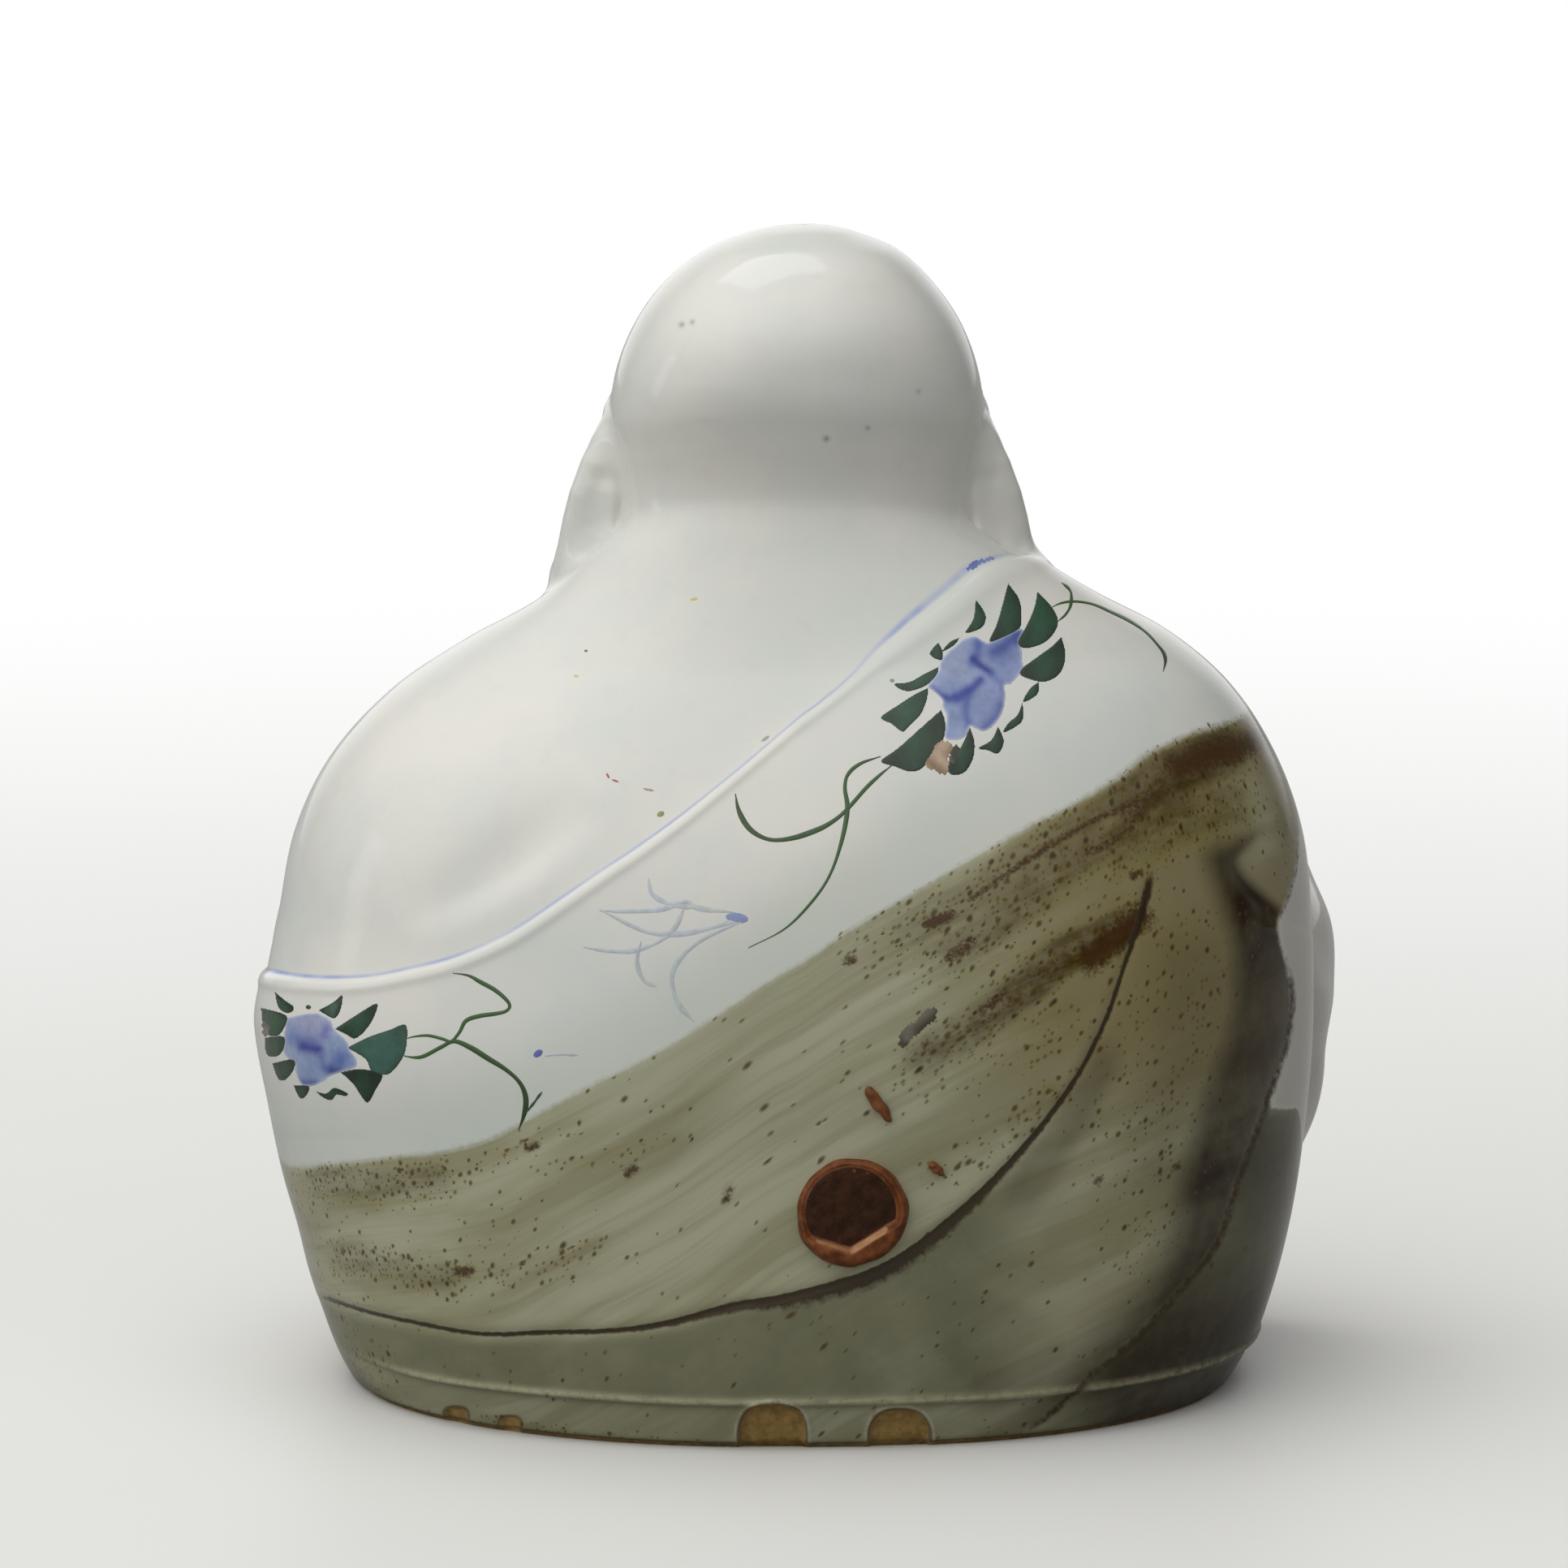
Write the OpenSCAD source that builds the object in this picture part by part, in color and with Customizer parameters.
// Seated laughing buddha, a hollow glazed porcelain figure, drawn as the moulded pieces that the potter
// lutes together before firing, with the sealing wax that was pressed on its back later.
// The figure faces -Y and sits on the plane Z = 0. Its right side is on -X. All sizes are in millimetres.

/* [Figure] */
// Height from the foot to the crown
figure_h = 142; // [130:1:155]
// Width across the robe and the sleeve
figure_w = 132; // [120:1:144]
// Depth from the belly to the back
figure_d = 99; // [90:1:108]
// Wall of the hollow moulded pieces
wall = 4; // [3:0.5:5]
// Height that the robe stands out from the skin
robe_t = 1.2; // [0.6:0.1:2]

/* [Base] */
// Thickness of the slab that closes the foot
slab_t = 5; // [4:0.5:7]
// Diameter of the vent hole in the slab
vent_d = 12; // [8:1:16]

/* [Attached pieces] */
// Wall of the open sleeve
sleeve_wall = 3; // [2:0.5:4]
// Diameter of the wax seal
seal_d = 13; // [10:0.5:16]
// Thickness of the wax seal at its rim
seal_t = 2.4; // [1.6:0.2:3.4]

/* [Hidden] */

glaze_white = "whitesmoke";
wash_brown = "darkkhaki";
wax_red = "sienna";

// The stations and places below are for a figure of 132 by 99 by 142, and grow with the figure.
grow = [figure_w / 132, figure_d / 99, figure_h / 142];
function place(p) = [for (i = [0:2]) p[i] * grow[i]];

// Rings of the torso: height, half width, depth behind and in front of the seam, sideways shift.
torso_stations = [
    [0, 53.6, 45.2, 40, 0.3], [8, 57.3, 47.2, 41, 0.3], [20, 60.6, 48.1, 39.5, 0.4], [34, 63, 48.3, 37, 0.9],
    [46, 64.2, 48, 35, 1.4], [58, 63, 46.2, 33, 0.6], [68, 61.3, 43.4, 30.5, 0.2], [77, 57.3, 39, 28, -0.4],
    [85, 50.8, 33.2, 25, -1.5], [91, 42.7, 27.8, 22.5, -2.4], [96, 33.8, 23.2, 20.5, -2.2],
    [100, 27.8, 19.8, 20, -1], [104, 22.4, 17.4, 20, -0.3]];
// Rings of the head, in the same columns, from the neck joint to the crown.
head_stations = [
    [104, 22.4, 17.4, 20, -0.3], [107.5, 21.4, 16.8, 21.6, -0.2], [112.5, 22, 19.2, 23.4, -0.2],
    [118, 22.8, 22.6, 24, -0.2], [124, 22.2, 24, 23.6, -0.2], [130, 19.9, 22.6, 21.4, -0.3],
    [135, 16.3, 18.8, 17.6, -0.4], [139, 11.5, 13.2, 12.4, -0.8], [141.2, 6.7, 7.6, 7.2, -1],
    [142, 0, 0, 0, -1]];
neck_z = 104;
crown_z = 142;
// One run of rings from the foot to the crown, so that the neck flows into the shoulders
body_stations = concat(torso_stations, [for (i = [1:len(head_stations) - 1]) head_stations[i]]);
// Squareness of the rings, where 2 is an ellipse
ring_power = 2.25;
// Slope of the neck joint, which drops towards the chin, and the heights where the lean starts and ends
neck_slope = 0.3;
lean_from_z = 90;
lean_to_z = 130;

// Height of the robe's raised edge round the torso, by ring angle. 0 is the figure's left side, 90 its back.
robe_edge_stations = [
    [0, 52.2], [26, 53.5], [44, 56.3], [58, 61.6], [69, 68.7], [79, 75.8], [87, 84], [94, 91.2], [102, 94.1],
    [112, 96.3], [131, 99.2], [155, 100.6], [180, 100.4], [198, 97], [212, 88], [225, 74], [236, 56],
    [246, 39], [256, 28], [268, 23.5], [285, 23], [300, 26], [315, 33], [330, 42], [345, 49], [360, 52.2]];

// Swellings on the front: centre, reach and push. The belly, the knees, the breasts, the bare left arm
// and the hollow beside it.
torso_swells = [
    [[0, -32, 45], [30, 26, 20], [0, -15.5, -1.5]],
    [[42, -30, 15], [17, 17, 12], [4, -9.5, 1]], [[-42, -30, 15], [17, 17, 12], [-4, -9.5, 1]],
    [[16, -26, 76], [12, 14, 8], [0, -5.5, -2]], [[-16, -26, 76], [12, 14, 8], [0, -5.5, -2]],
    [[50, -16, 66], [11, 12, 17], [2, -5, 0]], [[36, -24, 68], [5, 10, 13], [-0.5, 3, 0]]];
// Swellings on the face: nose, its wings, cheeks, chin, brows, eye hollows and lips.
face_swells = [
    [[0, -24, 114.8], [3, 9, 3], [0, -4.8, 0]], [[0, -24, 119.5], [2, 9, 4.5], [0, -2.4, 0]],
    [[2.8, -24, 113.6], [1.7, 9, 1.7], [0, -1.8, 0]], [[-2.8, -24, 113.6], [1.7, 9, 1.7], [0, -1.8, 0]],
    [[12, -20, 112], [7, 10, 5.5], [1.4, -3.4, 0]], [[-12, -20, 112], [7, 10, 5.5], [-1.4, -3.4, 0]],
    [[0, -23, 103], [6.5, 10, 4], [0, -3.4, -0.4]],
    [[8.5, -22, 124.5], [6, 9, 2.2], [0, -1.5, 0]], [[-8.5, -22, 124.5], [6, 9, 2.2], [0, -1.5, 0]],
    [[8.5, -22, 120.8], [4.4, 9, 2], [0, 1.4, 0]], [[-8.5, -22, 120.8], [4.4, 9, 2], [0, 1.4, 0]],
    [[0, -23, 109.6], [6, 9, 1.7], [0, -1.6, 0]]];
// Distance from the seam over which the swellings fade out, and from the neck joint over which the jaw does
swell_fade = 6;
jaw_fade = 3;

// Grid of the shells: columns over a half ring, rows below and above the robe's edge, rows of the head
torso_cols = 20;
robe_rows = 12;
skin_rows = 16;
head_cols = 16;
head_rows = 16;
face_cols = 36;
face_rows = 30;
// Half of the gap left between the two inner rows beside the robe's edge
inner_row_gap = 0.3;

// Smooth curve through stations: column c of a table at x, by cubic Hermite pieces
function slope_at(tab, i, c) =
    let (lo = max(i - 1, 0), hi = min(i + 1, len(tab) - 1))
    (tab[hi][c] - tab[lo][c]) / (tab[hi][0] - tab[lo][0]);
function piece_of(tab, x) = max([for (i = [0:len(tab) - 2]) if (i == 0 || tab[i][0] <= x) i]);
function smooth_at(tab, x, c) =
    let (i = piece_of(tab, x),
         h = tab[i + 1][0] - tab[i][0],
         u = min(max((x - tab[i][0]) / h, 0), 1),
         rise = u * u * (3 - 2 * u))
    tab[i][c] * (1 - rise) + tab[i + 1][c] * rise
    + h * u * (1 - u) * ((1 - u) * slope_at(tab, i, c) - u * slope_at(tab, i + 1, c));
function ease(u) = let (v = min(max(u, 0), 1)) v * v * (3 - 2 * v);

// A point of a ring at angle t and height z, drawn in by inset, before the swellings and the lean
function ring_share(v) = sign(v) * pow(abs(v), 2 / ring_power);
function inner_size(size, inset) = max(size - inset, 0);
function ring_point(tab, t, z, inset) =
    let (half_w = inner_size(smooth_at(tab, z, 1), inset),
         depth = inner_size(smooth_at(tab, z, sin(t) >= 0 ? 2 : 3), inset))
    [smooth_at(tab, z, 4) + half_w * ring_share(cos(t)), depth * ring_share(sin(t)), z];

// A swelling pushes the points near its centre, and the ring it leaves is untouched at the seam.
function swell(p, s) =
    s[2] * exp(-pow((p.x - s[0].x) / s[1].x, 2) - pow((p.y - s[0].y) / s[1].y, 2)
               - pow((p.z - s[0].z) / s[1].z, 2));
function sum_of(list, i = 0) = i == len(list) - 1 ? list[i] : list[i] + sum_of(list, i + 1);
function swollen(p, swells) =
    p.y >= 0 ? p : p + (1 - exp(-pow(p.y / swell_fade, 2))) * sum_of([for (s = swells) swell(p, s)]);

// The neck joint is a plane that drops to the front, and the rings near it lean with it.
function lean_at(z) =
    neck_slope * (z < neck_z ? ease((z - lean_from_z) / (neck_z - lean_from_z))
                             : ease((lean_to_z - z) / (lean_to_z - neck_z)));
function leaned(p) = [p.x, p.y, p.z + lean_at(p.z) * p.y];

// Skin of the torso and of the head. A lift of robe_t is the robe's surface.
function torso_point(t, z, lift = 0, inset = 0) =
    place(leaned(swollen(ring_point(body_stations, t, z, inset), torso_swells)
                 + lift * [cos(t), sin(t), 0]));
function head_point(t, z) =
    let (p = ring_point(body_stations, t, z, 0))
    place(leaned(p + ease((z - neck_z) / jaw_fade) * (swollen(p, face_swells) - p)));
function robe_edge(t) = smooth_at(robe_edge_stations, t, 1);
function angles(from, cols) = [for (i = [0:cols]) from + 180 * i / cols];

// Rows of the torso over one half ring: robe below its edge, bare skin above it
function torso_outer(ts) = concat(
    [for (i = [0:robe_rows]) [for (t = ts) torso_point(t, robe_edge(t) * i / robe_rows, robe_t)]],
    [for (i = [0:skin_rows])
        [for (t = ts) torso_point(t, robe_edge(t) + (neck_z - robe_edge(t)) * i / skin_rows)]]);
function torso_inner(ts) = concat(
    [for (i = [0:robe_rows])
        [for (t = ts) torso_point(t, (robe_edge(t) - inner_row_gap) * i / robe_rows, 0, wall)]],
    [for (i = [0:skin_rows])
        let (u = i / skin_rows)
        [for (t = ts)
            torso_point(t, (robe_edge(t) + inner_row_gap) * (1 - u) + neck_z * u, 0, wall)]]);
// Rows of the head crowd towards the crown, where the skull closes. The hollow closes a wall below it.
function row_share(u) = 0.45 * u + 0.55 * sin(90 * u);
function head_row_z(u) = neck_z + (crown_z - neck_z) * row_share(u);
function hollow_row_z(u) = neck_z + (crown_z - wall - neck_z) * row_share(u);
function hollow_point(t, u) =
    let (z = hollow_row_z(u),
         p = ring_point(body_stations, t, z, wall),
         top = ring_point(body_stations, t, crown_z, 0))
    place(leaned(u == 1 ? [top.x, top.y, z] : p));
function head_outer(ts, rows) = [for (i = [0:rows]) [for (t = ts) head_point(t, head_row_z(i / rows))]];
function head_inner(ts, rows) = [for (i = [0:rows]) [for (t = ts) hollow_point(t, i / rows)]];

// A closed shell between two grids of points with the same rows and columns
function real_triangle(p, f) =
    norm(p[f[0]] - p[f[1]]) > 0.001 && norm(p[f[1]] - p[f[2]]) > 0.001 && norm(p[f[2]] - p[f[0]]) > 0.001;
function quad(a, b, c, d) = [[a, b, c], [a, c, d]];
module shell(outer, inner) {
    rows = len(outer);
    cols = len(outer[0]);
    points = concat([for (r = outer) each r], [for (r = inner) each r]);
    in = rows * cols;
    faces = concat(
        [for (i = [0:rows - 2], j = [0:cols - 2])
            let (a = i * cols + j)
            each concat(quad(a, a + cols, a + cols + 1, a + 1),
                        quad(in + a, in + a + 1, in + a + cols + 1, in + a + cols))],
        [for (j = [0:cols - 2])
            let (top = (rows - 1) * cols + j)
            each concat(quad(j, j + 1, in + j + 1, in + j),
                        quad(top, in + top, in + top + 1, top + 1))],
        [for (i = [0:rows - 2])
            let (a = i * cols, b = i * cols + cols - 1)
            each concat(quad(a, in + a, in + a + cols, a + cols),
                        quad(b, b + cols, in + b + cols, in + b))]);
    polyhedron(points, [for (f = faces) if (real_triangle(points, f)) f]);
}

// A solid bounded by whole rings, flat at both ends, for cutting the pieces that are luted to the figure
module ring_solid(rows) {
    count = len(rows);
    cols = len(rows[0]);
    faces = concat(
        [for (i = [0:count - 2], j = [0:cols - 1])
            let (a = i * cols + j, b = i * cols + (j + 1) % cols)
            each quad(a, a + cols, b + cols, b)],
        [[for (j = [0:cols - 1]) j]],
        [[for (j = [cols - 1:-1:0]) (count - 1) * cols + j]]);
    polyhedron([for (r = rows) each r], faces);
}
function whole_ring(cols) = [for (j = [0:cols - 1]) 360 * j / cols];
module torso_form() {
    ring_solid(torso_outer(whole_ring(2 * torso_cols)));
}
module head_form() {
    solid_rows = [for (i = [0:head_rows - 1]) head_row_z(i / head_rows)];
    ring_solid([for (z = solid_rows) [for (t = whole_ring(2 * head_cols)) head_point(t, z)]]);
}

// A limb is a chain of balls, each given as its centre and radius, hulled one to the next.
limb_fn = 14;
module limb(balls) {
    for (i = [0:len(balls) - 2]) {
        hull() {
            translate(balls[i][0]) sphere(balls[i][1], $fn = limb_fn);
            translate(balls[i + 1][0]) sphere(balls[i + 1][1], $fn = limb_fn);
        }
    }
}
// Turns the X axis towards direction d, keeping Z as near upright as it can
module aim(d) {
    rotate([0, -asin(d.z / norm(d)), atan2(d.y, d.x)]) children();
}

module torso_back() {
    color(wash_brown) shell(torso_outer(angles(0, torso_cols)), torso_inner(angles(0, torso_cols)));
}

module torso_front() {
    color(wash_brown) shell(torso_outer(angles(180, torso_cols)), torso_inner(angles(180, torso_cols)));
}

// The slab fills the hollow at the foot. Its vent lets the air out as the figure is fired.
slab_gap = 0.05;
module base_slab() {
    rim = [for (t = whole_ring(2 * torso_cols)) torso_point(t, 0, 0, wall + slab_gap)];
    color(glaze_white) difference() {
        linear_extrude(slab_t) polygon([for (p = rim) [p.x, p.y]]);
        translate([0, 0, -1]) cylinder(d = vent_d, h = slab_t + 2, $fn = 64);
    }
}

module head_back() {
    color(glaze_white) shell(head_outer(angles(0, head_cols), head_rows),
                             head_inner(angles(0, head_cols), head_rows));
}

module head_front() {
    color(glaze_white) shell(head_outer(angles(180, face_cols), face_rows),
                             head_inner(angles(180, face_cols), face_rows));
}

// Long ears: a rim of balls from the top of the ear round to the lobe that rests on the shoulder,
// with a thin plate behind it. side is 1 on the figure's left and -1 on its right.
ear_rim = [[[22.4, 0, 117.5], 1.7], [[23.8, -4, 118.2], 1.9], [[24.8, -7, 114.5], 1.9],
           [[25.4, -7.4, 109.5], 2], [[26, -6.2, 104.5], 2.3], [[26.6, -3.6, 100.6], 2.9]];
ear_plate = [[[22.6, -0.6, 113.5], 2], [[23.4, -1.4, 108.5], 2.2], [[24.6, -2.2, 103.6], 2.6],
             [[26, -2.8, 100.4], 2.9]];
// Half thickness of the web between the rim and the plate
ear_web = 1.2;
module ear(side) {
    rim = [for (b = ear_rim) [place([side * b[0].x, b[0].y, b[0].z]), b[1]]];
    plate = [for (b = ear_plate) [place([side * b[0].x, b[0].y, b[0].z]), b[1]]];
    color(glaze_white) difference() {
        union() {
            limb(rim);
            limb(plate);
            hull() {
                translate(rim[3][0]) sphere(ear_web, $fn = limb_fn);
                translate(plate[1][0]) sphere(ear_web, $fn = limb_fn);
                translate(rim[1][0]) sphere(ear_web, $fn = limb_fn);
                translate(plate[3][0]) sphere(ear_web, $fn = limb_fn);
            }
        }
        head_form();
        torso_form();
    }
}

module left_ear() {
    ear(1);
}

module right_ear() {
    ear(-1);
}

// The bare left forearm lies along the flank, from the elbow to the wrist.
left_elbow = place([53, -6, 53]);
left_wrist = place([46, -31, 44]);
forearm_steps = 9;
elbow_r = 10;
wrist_r = 6;
forearm_bow = 3;
module forearm_form() {
    limb([for (i = [0:forearm_steps])
        let (u = i / forearm_steps)
        [left_elbow * (1 - u) + left_wrist * u + forearm_bow * sin(180 * u) * [1, 0, -0.4],
         elbow_r * (1 - u) + wrist_r * u]]);
}
module left_forearm() {
    color(glaze_white) difference() {
        forearm_form();
        torso_form();
    }
}

// A hand lies from the wrist along +X with its back up. Each finger is its root, length and radius.
palm_l = 10;
palm_r = 3.2;
palm_half_w = 4.6;
finger_set = [[-4.6, 8.4, 1.9], [-1.6, 10, 2.05], [1.5, 9.6, 2.05], [4.4, 7.4, 1.8]];
finger_drop = 3;
thumb_l = 8;
thumb_r = 2.1;
module hand(thumb_side) {
    hull() {
        sphere(palm_r + 1, $fn = limb_fn);
        for (y = [-palm_half_w, palm_half_w]) {
            translate([palm_l, y, 0]) sphere(palm_r - 0.6, $fn = limb_fn);
        }
    }
    for (f = finger_set) {
        root = [palm_l, f[0], 0];
        knuckle = root + [f[1] * 0.55, f[0] * 0.08, -finger_drop * 0.2];
        tip = root + [f[1], f[0] * 0.12, -finger_drop];
        limb([[root, f[2]], [knuckle, f[2]], [tip, f[2] * 0.85]]);
    }
    thumb_root = [palm_l * 0.35, thumb_side * palm_half_w * 0.8, -0.6];
    thumb_mid = thumb_root + thumb_l * [0.6, thumb_side * 0.5, -0.1];
    thumb_tip = thumb_mid + thumb_l * [0.5, 0, -0.1];
    limb([[thumb_root, thumb_r], [thumb_mid, thumb_r], [thumb_tip, thumb_r * 0.85]]);
}

left_hand_dir = [-0.85, -0.42, -0.2];
hand_roll = 60;
module left_hand() {
    color(glaze_white) difference() {
        translate(left_wrist + wrist_r * left_hand_dir)
            aim(left_hand_dir) rotate([-hand_roll, 0, 0]) hand(1);
        torso_form();
        forearm_form();
    }
}

// The right sleeve hangs open from the arm: oval hoops from the elbow to the wide cuff at the front.
cuff_centre = place([-54.2, -27, 40.5]);
cuff_half_w = 12 * grow.x;
cuff_half_h = 22 * grow.z;
sleeve_root = place([-50, 4, 55]);
sleeve_root_half_w = 9 * grow.x;
sleeve_root_half_h = 13 * grow.z;
sleeve_steps = 9;
hoop_t = 0.8;
// A hoop at share u along the sleeve, drawn in by inset. The cuff flares in its last stretch.
module sleeve_hoop(u, inset) {
    flare = ease(u);
    half_w = sleeve_root_half_w * (1 - flare) + cuff_half_w * flare - inset;
    half_h = sleeve_root_half_h * (1 - flare) + cuff_half_h * flare - inset;
    translate(sleeve_root * (1 - u) + cuff_centre * u) rotate([90, 0, 0])
        linear_extrude(hoop_t) scale([half_w, half_h]) circle(1, $fn = 32);
}
module sleeve_run(inset, from, to) {
    for (i = [from:to - 1]) {
        hull() {
            sleeve_hoop(i / sleeve_steps, inset);
            sleeve_hoop((i + 1) / sleeve_steps, inset);
        }
    }
}
// The hollow starts this many hoops before the cuff and runs out through its open end.
hollow_hoops = 4;
module sleeve_form() {
    difference() {
        sleeve_run(0, 0, sleeve_steps);
        sleeve_run(sleeve_wall, sleeve_steps - hollow_hoops, sleeve_steps + 1);
    }
}
module right_sleeve() {
    color(wash_brown) difference() {
        sleeve_form();
        torso_form();
    }
}

// The right hand comes out of the sleeve on its wrist, which reaches back to the sleeve's inner end.
right_wrist = place([-49, -31, 47]);
right_hand_dir = [0.85, -0.42, -0.2];
right_palm = right_wrist + 4 * right_hand_dir;
right_arm_root = place([-52, -12, 52]);
module right_hand() {
    color(glaze_white) difference() {
        union() {
            limb([[right_arm_root, wrist_r], [right_wrist, wrist_r - 1], [right_palm, palm_r + 1]]);
            translate(right_palm) aim(right_hand_dir) rotate([hand_roll, 0, 0]) hand(-1);
        }
        torso_form();
        sleeve_form();
    }
}

// A bare foot peeps out under the hem: a sole with five toes, along -Y.
foot_l = 20;
foot_r = 4.2;
toe_set = [[-4.6, 3, 2.5], [-1.2, 3.2, 2], [1.4, 2.6, 1.9], [3.7, 1.8, 1.8], [5.7, 0.8, 1.7]];
module foot(side) {
    hull() {
        translate([0, 0, foot_r]) sphere(foot_r, $fn = limb_fn);
        for (x = [-4.2, 4.2]) {
            translate([x, -foot_l + 4, foot_r - 1]) sphere(foot_r - 1, $fn = limb_fn);
        }
    }
    for (toe = toe_set) {
        root = [side * toe[0], -foot_l + 3.4, toe[2] + 0.4];
        limb([[root, toe[2]], [root + [0, -toe[1] * 0.5, 0.3], toe[2]], [root + [0, -toe[1], -0.3], toe[2]]]);
    }
}
foot_place = [15, -29, 0];
foot_turn = 14;
module bare_foot(side) {
    color(glaze_white) difference() {
        translate(place([side * foot_place.x, foot_place.y, 0])) rotate(side * foot_turn) foot(side);
        torso_form();
    }
}

module left_foot() {
    bare_foot(1);
}

module right_foot() {
    bare_foot(-1);
}

// A place on the robe at ring angle t and height z, and the direction out of it
function surface_normal(t, z) =
    let (along = torso_point(t + 1, z) - torso_point(t - 1, z),
         up = torso_point(t, z + 1) - torso_point(t, z - 1),
         n = cross(along, up))
    n / norm(n);

// The seal was pressed on the back while the wax was soft, so its face is sunk inside a raised rim.
seal_at = [95, 29.2];
seal_rim = 1.6;
seal_sink = 0.9;
module on_back(at) {
    n = surface_normal(at.x, at.y);
    translate(torso_point(at.x, at.y, robe_t)) rotate([0, acos(n.z), atan2(n.y, n.x)]) children();
}
module wax_seal() {
    r = seal_d / 2;
    color(wax_red) on_back(seal_at) rotate_extrude($fn = 64)
        polygon([[0, 0], [r - 0.5, 0], [r, 0.7], [r, seal_t - 0.8], [r - 0.6, seal_t], [r - seal_rim, seal_t],
                 [r - seal_rim - 0.7, seal_t - seal_sink], [0, seal_t - seal_sink]]);
}

// Two drops of wax that fell beside the seal: ring angle and height, half length and radius
crumbs = [[[97.9, 42.4], 2.2, 0.8], [[103.4, 34.3], 0.9, 0.7]];
module wax_crumbs() {
    color(wax_red) {
        for (c = crumbs) {
            on_back(c[0]) hull() {
                translate([-c[1], 0, c[2]]) sphere(c[2], $fn = limb_fn);
                translate([c[1], 0, c[2] * 0.8]) sphere(c[2] * 0.8, $fn = limb_fn);
            }
        }
    }
}

torso_back();
torso_front();
base_slab();
head_back();
head_front();
left_ear();
right_ear();
left_forearm();
left_hand();
right_sleeve();
right_hand();
left_foot();
right_foot();
wax_seal();
wax_crumbs();
